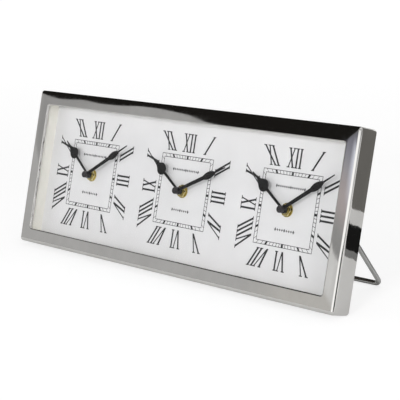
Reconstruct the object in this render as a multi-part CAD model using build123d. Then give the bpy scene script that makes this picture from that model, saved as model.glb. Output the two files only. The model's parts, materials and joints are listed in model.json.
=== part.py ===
from build123d import *
import os
from math import atan2, cos, degrees, pi, radians, sin, sqrt

# World time clock: three quartz clocks behind one glass, in a polished metal case that leans
# back on a wire stand. Lengths are in millimetres. The pieces are drawn in the case's own
# frame: x to the right, y up the case, z toward the viewer, with the origin at the middle of
# the rear rim. place() then leans the case back and stands it on the floor.

# Three square cells set the size of the window
clock_names = ("left", "middle", "right")
cell = 130.0
side_bar = 14.5
end_bar = 14.5
lean_angle = 14.0

# Case shell
case_wall = 1.5
ring_thickness = 1.2
lip_wall = 1.2
lip_depth = 2.4
case_corner_radius = 3.4
case_edge_radius = 3.0
edge_limit_share = 0.9
window_corner_radius = 2.5
lip_round = 0.5

# What the case holds, from the back to the front
board_inset = 1.0
board_thickness = 3.0
sheet_thickness = 0.3
cap_glass_gap = 1.2
glass_thickness = 2.0
glass_overlap = 6.0
liner_reveal = 2.0
inside_clearance = 0.3

# Screws that hold the board to the liner
board_screw_diameter = 2.9
board_screw_length = 12.0
board_screw_head_diameter = 5.6
board_screw_head_height = 1.8
screw_hole_clearance = 0.3
cross_width = 0.7
cross_length = 3.0
cross_depth = 0.9

# Wire stand
wire_diameter = 4.5
wire_bend_radius = 6.0
stand_hinge_drop = 64.0
stand_pin_depth = 4.2
stand_reach = 92.5
stand_movement_gap = 10.0
stand_spread = 7.0
pin_shoulder = 0.5
pin_overhang = 1.5
pin_clearance = 0.08

# Brackets that carry the stand
bracket_width = 17.0
bracket_height = 16.4
bracket_sheet = 1.0
ear_width = 6.4
stop_gap = 0.15
stop_start = 6.5
stop_length = 4.5
bracket_screw_diameter = 2.5
bracket_screw_length = 3.4
bracket_screw_head_diameter = 4.8
bracket_screw_head_height = 1.3
bracket_screw_spacing = 10.8

# Quartz movement, a square unit built round its battery
movement_wall = 1.5
movement_corner_radius = 2.0
rubber_thickness = 0.8
rubber_width = 6.05
cover_thickness = 1.5
partition_thickness = 1.2

# Battery and its bay
battery_diameter = 14.2
battery_length = 50.5
battery_nub_diameter = 5.5
battery_nub_length = 1.3
battery_round = 0.6
battery_gap = 0.3
battery_end_gap = 0.25
contact_thickness = 0.4
contact_width = 8.0
contact_height = 10.0
contact_bump_diameter = 5.0
contact_bump_height = 0.6

# Bush, nut and washer that clamp the movement to the board
bush_diameter = 7.9
bush_end = 1.0
bush_flange_width = 0.85
bush_flange_thickness = 1.0
bush_hole_clearance = 0.3
washer_width = 2.45
washer_thickness = 0.8
nut_width = 1.25
nut_height = 2.4
nut_chamfer = 0.5

# Motion work: ten teeth drive thirty, and eight drive thirty-two, so the hour runs at a twelfth
tooth_module = 0.35
addendum_share = 0.7
dedendum_share = 1.1
root_width_share = 0.28
tip_width_share = 0.12
cannon_teeth = 10
minute_wheel_teeth = 30
minute_pinion_teeth = 8
hour_wheel_teeth = 32
centre_wheel_teeth = 30
hour_wheel_thickness = 1.0
minute_wheel_thickness = 1.0
centre_wheel_thickness = 1.0
wheel_gap = 0.2
centre_wheel_drop = 0.7

# Arbors
hour_tube_diameter = 5.0
hour_tube_clearance = 0.08
minute_arbor_diameter = 3.36
minute_arbor_clearance = 0.07
rear_arbor_diameter = 2.0
rear_pivot_diameter = 1.5
rear_pivot_length = 1.8
front_pivot_diameter = 1.0
front_pivot_length = 0.7
pivot_clearance = 0.06
arbor_end_gap = 0.3
rear_boss_diameter = 5.0
rear_boss_height = 2.0

# Setting knob on the back of each movement
knob_diameter = 12.0
knob_height = 2.5
knob_ridges = 30
knob_ridge_depth = 0.4
knob_gap = 0.2

# Hands: heights build up from the bush, and places along a blade are measured back from its tip
hand_thickness = 0.5
blade_rise = 1.3
hand_tip_width = 0.9
hour_boss_gap = 0.4
hour_boss_width = 1.0
hour_boss_height = 2.3
hour_stem_width = 2.3
hour_stem_end_width = 2.8
hour_bulb_back = 18.0
hour_bulb_diameter = 11.6
hour_shoulder_back = 14.4
hour_shoulder_width = 9.0
hour_waist_back = 10.0
hour_waist_width = 3.6
hour_point_back = 6.0
hour_point_width = 1.8
hour_hand_shortfall = 14.0
minute_boss_gap = 0.3
minute_boss_width = 1.42
minute_boss_height = 2.1
minute_stem_width = 3.1
minute_stem_end_width = 3.7
minute_leaf_start_back = 28.0
minute_leaf_back = 20.0
minute_leaf_width = 6.7
minute_leaf_end_back = 13.0
minute_point_width = 1.7
minute_hand_margin = 1.0
cap_width = 1.62
cap_height = 2.3
cap_socket = 1.5
cap_round = 0.5

# Time shown by each clock, in degrees clockwise from twelve
minute_angles = (57.0, 63.5, 55.0)
hour_angles = (-52.0, -55.5, -55.0)

# Electrical parts
circuit_motor_gap = 6.6
circuit_height = 10.0
circuit_thickness = 0.8
circuit_inset = 1.2
circuit_post_diameter = 2.4
circuit_post_height = 3.0
circuit_post_inset = 2.0
chip_diameter = 5.0
chip_height = 1.0
crystal_diameter = 2.0
crystal_length = 6.0
stator_height = 9.0
stator_thickness = 1.0
stator_leg_width = 5.0
stator_slot_height = 3.0
coil_flange = 7.2
coil_flange_thickness = 0.8
coil_diameter = 6.0
coil_core_diameter = 2.4
coil_inset = 3.0

# How far a cutting tool runs past what it cuts
overrun = 1.0

# Sizes worked out from the values above
window_width = len(clock_names) * cell
window_height = cell
case_width = window_width + 2 * side_bar
case_height = window_height + 2 * end_bar
inner_width = case_width - 2 * case_wall
inner_height = case_height - 2 * case_wall
inner_corner_radius = case_corner_radius - case_wall
board_front = board_inset + board_thickness
dial_face = board_front + sheet_thickness
bush_rise = washer_thickness + nut_height + bush_end
hour_boss_start = bush_rise + hour_boss_gap
hour_tube_rise = hour_boss_start + hour_boss_height
minute_boss_start = hour_tube_rise + minute_boss_gap
cap_start = minute_boss_start + minute_boss_height
minute_arbor_rise = cap_start + cap_socket
glass_back = dial_face + cap_start + cap_height + cap_glass_gap
glass_front = glass_back + glass_thickness
case_depth = glass_front + lip_depth
liner_window_width = window_width + 2 * liner_reveal
liner_window_height = window_height + 2 * liner_reveal
liner_width = inner_width - 2 * inside_clearance
liner_height = inner_height - 2 * inside_clearance
bush_bore = hour_tube_diameter + 2 * hour_tube_clearance
hour_tube_bore = minute_arbor_diameter + 2 * minute_arbor_clearance
bush_flange_diameter = bush_diameter + 2 * bush_flange_width
washer_diameter = bush_diameter + 2 * washer_width
nut_across_flats = bush_diameter + 2 * nut_width
rubber_diameter = bush_diameter + 2 * rubber_width
hour_boss_diameter = hour_tube_diameter + 2 * hour_boss_width
minute_boss_diameter = minute_arbor_diameter + 2 * minute_boss_width
cap_diameter = minute_arbor_diameter + 2 * cap_width
minute_hand_length = cell / 2 - minute_hand_margin
hour_hand_length = minute_hand_length - hour_hand_shortfall
contact_depth = contact_thickness + contact_bump_height
movement_size = battery_length + 2 * (movement_wall + contact_depth + battery_end_gap)
movement_depth = movement_wall + battery_gap + battery_diameter
movement_front = board_inset - rubber_thickness
movement_back = movement_front - movement_depth
wall_back = movement_front - movement_wall
cover_front = movement_back + cover_thickness
bay_bottom = movement_wall - movement_size / 2
bay_height = battery_diameter + 2 * battery_gap
bay_top = bay_bottom + bay_height
gear_room_bottom = bay_top + partition_thickness
gear_room_top = movement_size / 2 - movement_wall
bay_width = movement_size - 2 * movement_wall
circuit_width = (bay_width - 2 * circuit_inset - circuit_motor_gap) / 2
stator_width = circuit_width
coil_length = stator_width - 2 * coil_inset
battery_y = bay_bottom + bay_height / 2
battery_z = wall_back - battery_gap - battery_diameter / 2
motion_distance = (cannon_teeth + minute_wheel_teeth) * tooth_module / 2
flange_back = wall_back - bush_flange_thickness
hour_wheel_front = flange_back - wheel_gap
hour_wheel_back = hour_wheel_front - hour_wheel_thickness
cannon_front = hour_wheel_back - wheel_gap
minute_wheel_front = cannon_front - wheel_gap
minute_wheel_back = minute_wheel_front - minute_wheel_thickness
cannon_back = minute_wheel_back - wheel_gap
centre_wheel_front = minute_wheel_back - centre_wheel_drop
centre_wheel_back = centre_wheel_front - centre_wheel_thickness
boss_top = cover_front + rear_boss_height
wire_radius = wire_diameter / 2
pin_y = case_height / 2 - stand_hinge_drop
pin_z = board_inset - stand_pin_depth
clock_places = [(n - (len(clock_names) - 1) / 2) * cell for n in range(len(clock_names))]
stand_top_half_width = clock_places[-1] + movement_size / 2 + stand_movement_gap
stand_foot_half_width = stand_top_half_width + stand_spread
bracket_start = stand_top_half_width + wire_bend_radius + pin_shoulder
stand_pin_end = bracket_start + bracket_width + pin_overhang
stop_inner_half_width = stand_top_half_width - wire_radius


def place(shape):
    """Lean a shape back with the case and stand it on the floor."""
    lean = radians(lean_angle)
    rear_edge = (case_depth * cos(lean) - stand_reach - wire_radius) / 2
    rise = case_height / 2 * cos(lean)
    back = rear_edge + case_height / 2 * sin(lean)
    return Pos(0, back, rise) * Rot(90 - lean_angle, 0, 0) * shape


def slab(width, height, low, high, x=0, y=0, corner=0):
    """A flat block from one depth to another, with its upright edges rounded."""
    block = Box(width, height, high - low)
    if corner:
        block = fillet(block.edges().filter_by(Axis.Z), corner)
    return Pos(x, y, (low + high) / 2) * block


def rod(diameter, low, high, x=0, y=0):
    """A round bar along the viewing direction."""
    return Pos(x, y, (low + high) / 2) * Cylinder(diameter / 2, high - low)


def ring(outer, inner, low, high, x=0, y=0):
    """A round bar with a bore right through it."""
    return rod(outer, low, high, x, y) - rod(inner, low - overrun, high + overrun, x, y)


def cross_bar(diameter, low, high, y, z):
    """A round bar along the case."""
    return Pos((low + high) / 2, y, z) * Rot(0, 90, 0) * Cylinder(diameter / 2, high - low)


def toothed(teeth, root, tip, low, high, phase, x=0, y=0):
    """A toothed disc with one tooth at the angle phase."""
    step = 360 / teeth
    left = ((root, -root_width_share), (tip, -tip_width_share))
    right = ((tip, tip_width_share), (root, root_width_share))
    points = []
    for tooth in range(teeth):
        for radius, share in left + right:
            angle = radians(phase + (tooth + share) * step)
            points.append((radius * cos(angle), radius * sin(angle)))
    outline = make_face(Polyline(*points, close=True))
    return Pos(x, y, low) * extrude(outline, high - low)


def gear(teeth, low, high, phase, x=0, y=0):
    """A gear wheel of the motion work."""
    pitch_radius = teeth * tooth_module / 2
    root = pitch_radius - dedendum_share * tooth_module
    tip = pitch_radius + addendum_share * tooth_module
    return toothed(teeth, root, tip, low, high, phase, x, y)


def group(shapes):
    """Several solids kept as one node."""
    return Compound(children=[part for shape in shapes for part in shape.solids()])


def rounded_shell(width, height, low, high, corner, edge):
    """A block whose upright edges and front edge are rounded, the front edge a little less."""
    block = slab(width, height, low, high, corner=corner)
    return fillet(block.faces().sort_by(Axis.Z)[-1].edges(), min(edge, edge_limit_share * corner))


def bezel_frame():
    """Polished shell: front ring, side walls and a lip turned in round the window."""
    shell = rounded_shell(case_width, case_height, 0, case_depth, case_corner_radius, case_edge_radius)
    hollow_front = case_depth - ring_thickness
    hollow = (inner_width, inner_height, -overrun, hollow_front)
    shell -= rounded_shell(*hollow, inner_corner_radius, case_edge_radius - ring_thickness)
    lip_corner = window_corner_radius + lip_wall
    lip_width = window_width + 2 * lip_wall
    lip_height = window_height + 2 * lip_wall
    shell += slab(lip_width, lip_height, glass_front, hollow_front, corner=lip_corner)
    front = case_depth + overrun
    shell -= slab(window_width, window_height, -overrun, front, corner=window_corner_radius)
    front_face = shell.faces().filter_by(Plane.XY).sort_by(Axis.Z)[-1]
    return fillet(front_face.inner_wires()[0].edges(), lip_round)


def glass_pane():
    """Flat pane held between the lip and the liner."""
    width = window_width + 2 * glass_overlap
    height = window_height + 2 * glass_overlap
    return slab(width, height, glass_back, glass_front)


def board_screw_places():
    """Where the screws go through the board into the liner."""
    side = (liner_window_width + liner_width) / 4
    end = (liner_window_height + liner_height) / 4
    places = [(x, y) for y in (-end, end) for x in clock_places]
    return places + [(-side, 0), (side, 0)]


def screw_holes(diameter, low, high):
    """Cutting tools for the holes of the board screws."""
    return [rod(diameter, low, high, x, y) for x, y in board_screw_places()]


def liner_frame():
    """Cream spacer frame between the dials and the glass."""
    frame = slab(liner_width, liner_height, dial_face, glass_back, corner=inner_corner_radius)
    frame -= slab(liner_window_width, liner_window_height, dial_face - overrun, glass_back + overrun)
    tip = board_inset + board_screw_length
    for hole in screw_holes(board_screw_diameter, dial_face - overrun, tip):
        frame -= hole
    return frame


def drilled_panel(low, high):
    """A panel that fills the case, with the holes for the bushes and the screws."""
    panel = slab(liner_width, liner_height, low, high, corner=inner_corner_radius)
    for x in clock_places:
        panel -= rod(bush_diameter + bush_hole_clearance, low - overrun, high + overrun, x)
    for hole in screw_holes(board_screw_diameter + screw_hole_clearance, low - overrun, high + overrun):
        panel -= hole
    return panel


def dial_sheet():
    """Printed paper in front of the board."""
    return drilled_panel(board_front, dial_face)


def dial_board():
    """Board that carries the three movements and the stand."""
    board = drilled_panel(board_inset, board_front)
    for x, y in bracket_screw_places():
        board -= rod(bracket_screw_diameter, board_inset - overrun, bracket_screw_tip(), x, y)
    return board


def screw(diameter, head_diameter, head_height, seat, length, x, y):
    """A pan head screw with a cross recess, its head at the back of its seat."""
    body = rod(diameter, seat, seat + length, x, y)
    body += rod(head_diameter, seat - head_height, seat, x, y)
    top = seat - head_height
    for width, height in ((cross_width, cross_length), (cross_length, cross_width)):
        body -= slab(width, height, top - overrun, top + cross_depth, x, y)
    return body


def board_screws():
    """Eight screws through the board into the liner."""
    sizes = (board_screw_diameter, board_screw_head_diameter, board_screw_head_height)
    places = board_screw_places()
    return group([screw(*sizes, board_inset, board_screw_length, x, y) for x, y in places])


def stand_angle():
    """Angle between the open stand and the back of the case, in degrees."""
    top, foot = stand_points()
    return degrees(atan2(top[1] - foot[1], top[0] - foot[0]))


def stand_points():
    """Height and depth in the case's frame of the stand's pins and of its foot."""
    lean = radians(lean_angle)
    foot_y = stand_reach * sin(lean) + wire_radius * cos(lean) - case_height / 2
    foot_z = wire_radius * sin(lean) - stand_reach * cos(lean)
    return (pin_y, pin_z), (foot_y, foot_z)


def stand_path():
    """Middle line of the wire: a pin, a leg, the foot bar, a leg and a pin."""
    (top_y, top_z), (foot_y, foot_z) = stand_points()
    corners = (
        (stand_pin_end, top_y, top_z),
        (stand_top_half_width, top_y, top_z),
        (stand_foot_half_width, foot_y, foot_z),
        (-stand_foot_half_width, foot_y, foot_z),
        (-stand_top_half_width, top_y, top_z),
        (-stand_pin_end, top_y, top_z),
    )
    return FilletPolyline(*corners, radius=wire_bend_radius)


def stand_wire():
    """One bent wire of round section."""
    start = Plane(origin=(stand_pin_end, pin_y, pin_z), z_dir=(-1, 0, 0))
    return sweep(start * Circle(wire_radius), path=stand_path())


def bracket_ear(low):
    """A rounded ear with the hole for the stand's pin."""
    ear = cross_bar(ear_width, low, low + bracket_sheet, pin_y, pin_z)
    middle = low + bracket_sheet / 2
    ear += slab(bracket_sheet, ear_width, pin_z, board_inset - bracket_sheet, middle, pin_y)
    hole = wire_diameter + 2 * pin_clearance
    return ear - cross_bar(hole, low - overrun, low + bracket_sheet + overrun, pin_y, pin_z)


def bracket_stop():
    """Arm and tab of the inner ear, which the open leg leans on."""
    near = wire_radius + stop_gap
    far = near + bracket_sheet
    end = stop_start + stop_length
    hole_edge = wire_radius + pin_clearance + bracket_sheet / 2
    arm = Box(bracket_sheet, end - hole_edge, far)
    arm = Pos(bracket_start + bracket_sheet / 2, (end + hole_edge) / 2, far / 2) * arm
    reach = bracket_start + bracket_sheet - stop_inner_half_width
    tab = Box(reach, stop_length, bracket_sheet)
    tab = Pos(stop_inner_half_width + reach / 2, (stop_start + end) / 2, (near + far) / 2) * tab
    return Pos(0, pin_y, pin_z) * Rot(180 + stand_angle(), 0, 0) * (arm + tab)


def stand_bracket():
    """Bent steel bracket on the right of the board's back."""
    middle = bracket_start + bracket_width / 2
    back = board_inset - bracket_sheet
    bracket = slab(bracket_width, bracket_height, back, board_inset, middle, pin_y)
    bracket += bracket_ear(bracket_start)
    bracket += bracket_ear(bracket_start + bracket_width - bracket_sheet)
    bracket += bracket_stop()
    hole = bracket_screw_diameter + screw_hole_clearance
    for x, y in bracket_screw_places():
        bracket -= rod(hole, back - overrun, board_inset + overrun, x, y)
    return bracket


def bracket_screw_places():
    """Two screws on each bracket, above and below the pin."""
    middle = bracket_start + bracket_width / 2
    half = bracket_screw_spacing / 2
    return [(x, y) for x in (-middle, middle) for y in (pin_y - half, pin_y + half)]


def bracket_screw_tip():
    """Depth that the bracket screws reach."""
    return board_inset - bracket_sheet + bracket_screw_length


def bracket_screws():
    """Four short screws that hold the brackets on the board."""
    sizes = (bracket_screw_diameter, bracket_screw_head_diameter, bracket_screw_head_height)
    seat = board_inset - bracket_sheet
    places = bracket_screw_places()
    return group([screw(*sizes, seat, bracket_screw_length, x, y) for x, y in places])


def hexagon_nut(x):
    """Brass nut on the bush."""
    low = dial_face + washer_thickness
    outline = RegularPolygon(nut_across_flats / sqrt(3), 6)
    nut = Pos(x, 0, low) * extrude(outline, nut_height)
    nut = chamfer(nut.faces().sort_by(Axis.Z)[-1].edges(), nut_chamfer)
    return nut - rod(bush_diameter, low - overrun, low + nut_height + overrun, x)


def dial_nuts():
    """One nut for each movement."""
    return group([hexagon_nut(x) for x in clock_places])


def dial_washers():
    """One brass washer under each nut."""
    high = dial_face + washer_thickness
    return group([ring(washer_diameter, bush_diameter, dial_face, high, x) for x in clock_places])


def rubber_washers():
    """One rubber washer between each movement and the board."""
    sizes = (rubber_diameter, bush_diameter, movement_front, board_inset)
    return group([ring(*sizes, x) for x in clock_places])


def movement_case():
    """Front shell of the movement, with the battery bay below the gear room."""
    case = slab(movement_size, movement_size, movement_back, movement_front, corner=movement_corner_radius)
    room_height = gear_room_top - gear_room_bottom
    room_y = (gear_room_top + gear_room_bottom) / 2
    case -= slab(bay_width, room_height, movement_back - overrun, wall_back, 0, room_y)
    case -= slab(bay_width, bay_height, movement_back - overrun, wall_back, 0, battery_y)
    cover_height = movement_size / 2 + overrun - bay_top
    cover_y = (movement_size / 2 + overrun + bay_top) / 2
    case -= slab(movement_size + 2 * overrun, cover_height, movement_back - overrun, cover_front, 0, cover_y)
    case -= rod(bush_diameter, wall_back - overrun, movement_front + overrun)
    pivot_hole = front_pivot_diameter + 2 * pivot_clearance
    hole_end = wall_back + front_pivot_length + wheel_gap
    case -= rod(pivot_hole, wall_back - overrun, hole_end, 0, motion_distance)
    for x, y in circuit_post_places():
        case += rod(circuit_post_diameter, wall_back - circuit_post_height, wall_back, x, y)
    return case


def movement_cover():
    """Back cover over the gear room, with the rear bearing of the centre arbor."""
    height = movement_size / 2 - bay_top
    middle = (movement_size / 2 + bay_top) / 2
    cover = slab(movement_size, height, movement_back, cover_front, 0, middle)
    top_edges = cover.edges().filter_by(Axis.Z).sort_by(Axis.Y)[-2:]
    cover = fillet(top_edges, movement_corner_radius)
    cover += rod(rear_boss_diameter, cover_front, boss_top)
    pivot_hole = rear_pivot_diameter + 2 * pivot_clearance
    cover -= rod(pivot_hole, cover_front, boss_top + overrun)
    arbor_hole = rear_arbor_diameter + 2 * pivot_clearance
    return cover - rod(arbor_hole, movement_back - overrun, cover_front + overrun, 0, motion_distance)


def threaded_bush():
    """Brass bush with a flange inside the movement's front wall."""
    bush = rod(bush_diameter, wall_back, dial_face + bush_rise)
    bush += rod(bush_flange_diameter, flange_back, wall_back)
    return bush - rod(bush_bore, flange_back - overrun, dial_face + bush_rise + overrun)


def hour_wheel():
    """Wheel and tube that carry the hour hand."""
    half_step = 180 / hour_wheel_teeth
    wheel = gear(hour_wheel_teeth, hour_wheel_back, hour_wheel_front, 90 + half_step)
    top = dial_face + hour_tube_rise
    wheel += rod(hour_tube_diameter, hour_wheel_back, top)
    return wheel - rod(hour_tube_bore, hour_wheel_back - overrun, top + overrun)


def centre_wheel():
    """Centre arbor with its drive wheel and the ten tooth pinion."""
    wheel = rod(minute_arbor_diameter, cannon_front, dial_face + minute_arbor_rise)
    wheel += gear(cannon_teeth, cannon_back, cannon_front, 90)
    wheel += rod(rear_arbor_diameter, boss_top + arbor_end_gap, cannon_back)
    wheel += gear(centre_wheel_teeth, centre_wheel_back, centre_wheel_front, 0)
    pivot_end = boss_top + arbor_end_gap - rear_pivot_length
    return wheel + rod(rear_pivot_diameter, pivot_end, boss_top + arbor_end_gap)


def minute_wheel():
    """Thirty tooth wheel and eight tooth pinion on the arbor of the setting knob."""
    y = motion_distance
    half_step = 180 / minute_wheel_teeth
    pinion_front = hour_wheel_front + wheel_gap / 2
    wheel = gear(minute_pinion_teeth, minute_wheel_front, pinion_front, 270, 0, y)
    wheel += gear(minute_wheel_teeth, minute_wheel_back, minute_wheel_front, 270 + half_step, 0, y)
    wheel += rod(front_pivot_diameter, pinion_front, wall_back + front_pivot_length, 0, y)
    knob_back = movement_back - knob_gap - knob_height
    return wheel + rod(rear_arbor_diameter, knob_back, minute_wheel_back, 0, y)


def set_knob():
    """Ridged knob behind the cover, pressed on the arbor of the minute wheel."""
    high = movement_back - knob_gap
    low = high - knob_height
    tip = knob_diameter / 2
    knob = toothed(knob_ridges, tip - knob_ridge_depth, tip, low, high, 0, 0, motion_distance)
    return knob - rod(rear_arbor_diameter, low - overrun, high + overrun, 0, motion_distance)


def taper(start_width, end_width, start, end):
    """A straight tapered blade up from the hub."""
    points = (
        (-start_width / 2, start),
        (-end_width / 2, end),
        (end_width / 2, end),
        (start_width / 2, start),
    )
    return make_face(Polyline(*points, close=True))


def curved_band(start, middle, end):
    """A blade between two reaches whose sides are arcs; each station is (width, reach)."""
    left = [(-width / 2, reach) for width, reach in (start, middle, end)]
    right = [(width / 2, reach) for width, reach in (end, middle, start)]
    sides = ThreePointArc(*left) + ThreePointArc(*right)
    return make_face(sides + Line(left[-1], right[0]) + Line(right[-1], left[0]))


def hour_hand():
    """Spade hand with a round bulb and a slender point."""
    bulb_reach = hour_hand_length - hour_bulb_back
    point_reach = hour_hand_length - hour_point_back
    blade = taper(hour_stem_width, hour_stem_end_width, 0, bulb_reach)
    blade += Pos(0, bulb_reach) * Circle(hour_bulb_diameter / 2)
    shoulder = (hour_shoulder_width, hour_hand_length - hour_shoulder_back)
    waist = (hour_waist_width, hour_hand_length - hour_waist_back)
    blade += curved_band(shoulder, waist, (hour_point_width, point_reach))
    blade += taper(hour_point_width, hand_tip_width, point_reach, hour_hand_length)
    low = dial_face + hour_boss_start
    hand = Pos(0, 0, low + blade_rise) * extrude(blade, hand_thickness)
    top = dial_face + hour_tube_rise
    hand += rod(hour_boss_diameter, low, top)
    return hand - rod(hour_tube_diameter, dial_face, top + overrun)


def minute_hand():
    """Leaf hand with a long slender point."""
    leaf_start = minute_hand_length - minute_leaf_start_back
    leaf_end = minute_hand_length - minute_leaf_end_back
    blade = taper(minute_stem_width, minute_stem_end_width, 0, leaf_start)
    start = (minute_stem_end_width, leaf_start)
    middle = (minute_leaf_width, minute_hand_length - minute_leaf_back)
    blade += curved_band(start, middle, (minute_point_width, leaf_end))
    blade += taper(minute_point_width, hand_tip_width, leaf_end, minute_hand_length)
    low = dial_face + minute_boss_start
    hand = Pos(0, 0, low + blade_rise) * extrude(blade, hand_thickness)
    hand += rod(minute_boss_diameter, low, low + minute_boss_height)
    return hand - rod(minute_arbor_diameter, low - overrun, low + minute_boss_height + overrun)


def cap_nut():
    """Closed black cap on the end of the centre arbor."""
    low = dial_face + cap_start
    cap = rod(cap_diameter, low, low + cap_height)
    cap = fillet(cap.faces().sort_by(Axis.Z)[-1].edges(), cap_round)
    return cap - rod(minute_arbor_diameter, low - overrun, dial_face + minute_arbor_rise)


def battery():
    """Round cell that lies across the bay."""
    left = -battery_length / 2
    shoulder = battery_length / 2 - battery_nub_length
    body = cross_bar(battery_diameter, left, shoulder, battery_y, battery_z)
    body = fillet(body.edges().filter_by(GeomType.CIRCLE), battery_round)
    return body + cross_bar(battery_nub_diameter, shoulder, battery_length / 2, battery_y, battery_z)


def battery_contacts():
    """Two sprung plates at the ends of the bay, each with a bump toward the cell."""
    plates = []
    for side in (-1, 1):
        outer = side * bay_width / 2
        inner = outer - side * contact_thickness
        low = battery_z - contact_height / 2
        high = battery_z + contact_height / 2
        plate = slab(contact_thickness, contact_width, low, high, (outer + inner) / 2, battery_y)
        tip = inner - side * contact_bump_height
        ends = sorted((inner, tip))
        plates.append(plate + cross_bar(contact_bump_diameter, *ends, battery_y, battery_z))
    return group(plates)


def circuit_centre():
    """Middle of the circuit board, in the upper left corner of the gear room."""
    x = -bay_width / 2 + circuit_inset + circuit_width / 2
    y = gear_room_top - circuit_inset - circuit_height / 2
    return x, y


def circuit_post_places():
    """Two posts of the movement case that hold the circuit board."""
    x, y = circuit_centre()
    half = circuit_width / 2 - circuit_post_inset
    return [(x - half, y), (x + half, y)]


def circuit_board():
    """Board with its chip and its crystal."""
    x, y = circuit_centre()
    high = wall_back - circuit_post_height
    low = high - circuit_thickness
    board = slab(circuit_width, circuit_height, low, high, x, y)
    chip = rod(chip_diameter, low - chip_height, low, x - chip_diameter, y)
    crystal_x = x + chip_diameter - crystal_length / 2
    crystal_z = low - crystal_diameter / 2
    crystal = cross_bar(crystal_diameter, crystal_x, crystal_x + crystal_length, y, crystal_z)
    return group([board, chip, crystal])


def motor_centre():
    """Middle of the step motor, in the upper right corner of the gear room."""
    x = bay_width / 2 - circuit_inset - stator_width / 2
    y = gear_room_top - circuit_inset - stator_height / 2
    return x, y


def stator():
    """Slotted steel plate under the coil."""
    x, y = motor_centre()
    low = wall_back - stator_thickness
    plate = slab(stator_width, stator_height, low, wall_back, x, y)
    slot_y = y - stator_height / 2 + stator_slot_height / 2
    slot_width = stator_width - 2 * stator_leg_width
    return plate - slab(slot_width, stator_slot_height, low - overrun, wall_back + overrun, x, slot_y)


def motor_coil():
    """Bobbin with its copper winding."""
    x, y = motor_centre()
    z = wall_back - stator_thickness - coil_flange / 2
    left = x - coil_length / 2
    right = x + coil_length / 2
    bobbin = cross_bar(coil_core_diameter, left, right, y, z)
    for end in (left + coil_flange_thickness / 2, right - coil_flange_thickness / 2):
        bobbin += Pos(end, y, z) * Box(coil_flange_thickness, coil_flange, coil_flange)
    ends = (left + coil_flange_thickness, right - coil_flange_thickness)
    winding = cross_bar(coil_diameter, *ends, y, z)
    winding -= cross_bar(coil_core_diameter, left, right, y, z)
    return group([bobbin, winding])


def save(name, shape):
    """Write one node where it stands in the finished clock."""
    export_step(place(shape), f"parts/{name}.step")


def save_case():
    """Write the case, what it holds and the stand."""
    save("bezel_frame", bezel_frame())
    save("glass_pane", glass_pane())
    save("liner_frame", liner_frame())
    save("dial_sheet", dial_sheet())
    save("dial_board", dial_board())
    save("board_screws", board_screws())
    save("dial_nuts", dial_nuts())
    save("dial_washers", dial_washers())
    save("rubber_washers", rubber_washers())
    bracket = stand_bracket()
    save("stand_bracket_right", bracket)
    save("stand_bracket_left", mirror(bracket, Plane.YZ))
    save("bracket_screws", bracket_screws())
    save("stand_wire", stand_wire())


def save_clocks():
    """Write the pieces of the three movements, each with its hands at its own time."""
    fixed = {
        "movement_case": movement_case(),
        "movement_cover": movement_cover(),
        "threaded_bush": threaded_bush(),
        "hour_wheel": hour_wheel(),
        "centre_wheel": centre_wheel(),
        "minute_wheel": minute_wheel(),
        "set_knob": set_knob(),
        "cap_nut": cap_nut(),
        "battery": battery(),
        "battery_contacts": battery_contacts(),
        "circuit_board": circuit_board(),
        "stator": stator(),
        "motor_coil": motor_coil(),
    }
    hour, minute = hour_hand(), minute_hand()
    for name, x, hour_angle, minute_angle in zip(clock_names, clock_places, hour_angles, minute_angles):
        for piece, shape in fixed.items():
            save(f"{name}_{piece}", Pos(x, 0, 0) * shape)
        save(f"{name}_hour_hand", Pos(x, 0, 0) * Rot(0, 0, -hour_angle) * hour)
        save(f"{name}_minute_hand", Pos(x, 0, 0) * Rot(0, 0, -minute_angle) * minute)


def report_stand():
    """Print the stand's angle, and its volume against its section times its length."""
    print("stand opens", round(stand_angle(), 3), "degrees")
    section = pi * wire_radius**2
    print("wire volume", round(stand_wire().volume, 1), round(section * stand_path().length, 1))


os.makedirs("parts", exist_ok=True)
save_case()
save_clocks()
report_stand()
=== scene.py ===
import json
from math import cos, degrees, pi, radians, sin, tan

import bmesh
import bpy
from mathutils import Matrix, Vector, noise
from mathutils.geometry import delaunay_2d_cdt


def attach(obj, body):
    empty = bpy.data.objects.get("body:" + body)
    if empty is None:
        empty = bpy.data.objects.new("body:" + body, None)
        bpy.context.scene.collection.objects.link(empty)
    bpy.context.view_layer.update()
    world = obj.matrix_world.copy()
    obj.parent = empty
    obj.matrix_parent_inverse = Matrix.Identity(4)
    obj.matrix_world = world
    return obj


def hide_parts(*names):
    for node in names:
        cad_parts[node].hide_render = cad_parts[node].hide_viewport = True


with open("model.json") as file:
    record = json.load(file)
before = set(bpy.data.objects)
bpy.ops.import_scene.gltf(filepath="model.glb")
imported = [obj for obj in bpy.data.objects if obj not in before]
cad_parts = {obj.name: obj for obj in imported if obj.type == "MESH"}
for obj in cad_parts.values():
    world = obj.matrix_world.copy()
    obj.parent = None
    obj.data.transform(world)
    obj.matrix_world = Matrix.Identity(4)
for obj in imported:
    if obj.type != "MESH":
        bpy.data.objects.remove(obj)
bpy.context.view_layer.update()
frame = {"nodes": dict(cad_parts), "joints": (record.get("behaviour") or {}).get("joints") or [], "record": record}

# Looks of the world time clock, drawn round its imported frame. Shapes on the leaning case are
# given in millimetres in the case's own frame, as in the part's source: x to the right, y up
# the case, z toward the viewer, from the middle of the rear rim. CASE takes them to the row
# frame in metres.

MM = 0.001
NODES = frame["nodes"]
JOINTS = {joint["name"]: joint for joint in frame["joints"]}
RECORD_SLOTS = {part["node"]: part["material_slot"] for part in frame["record"]["subparts"]}

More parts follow.
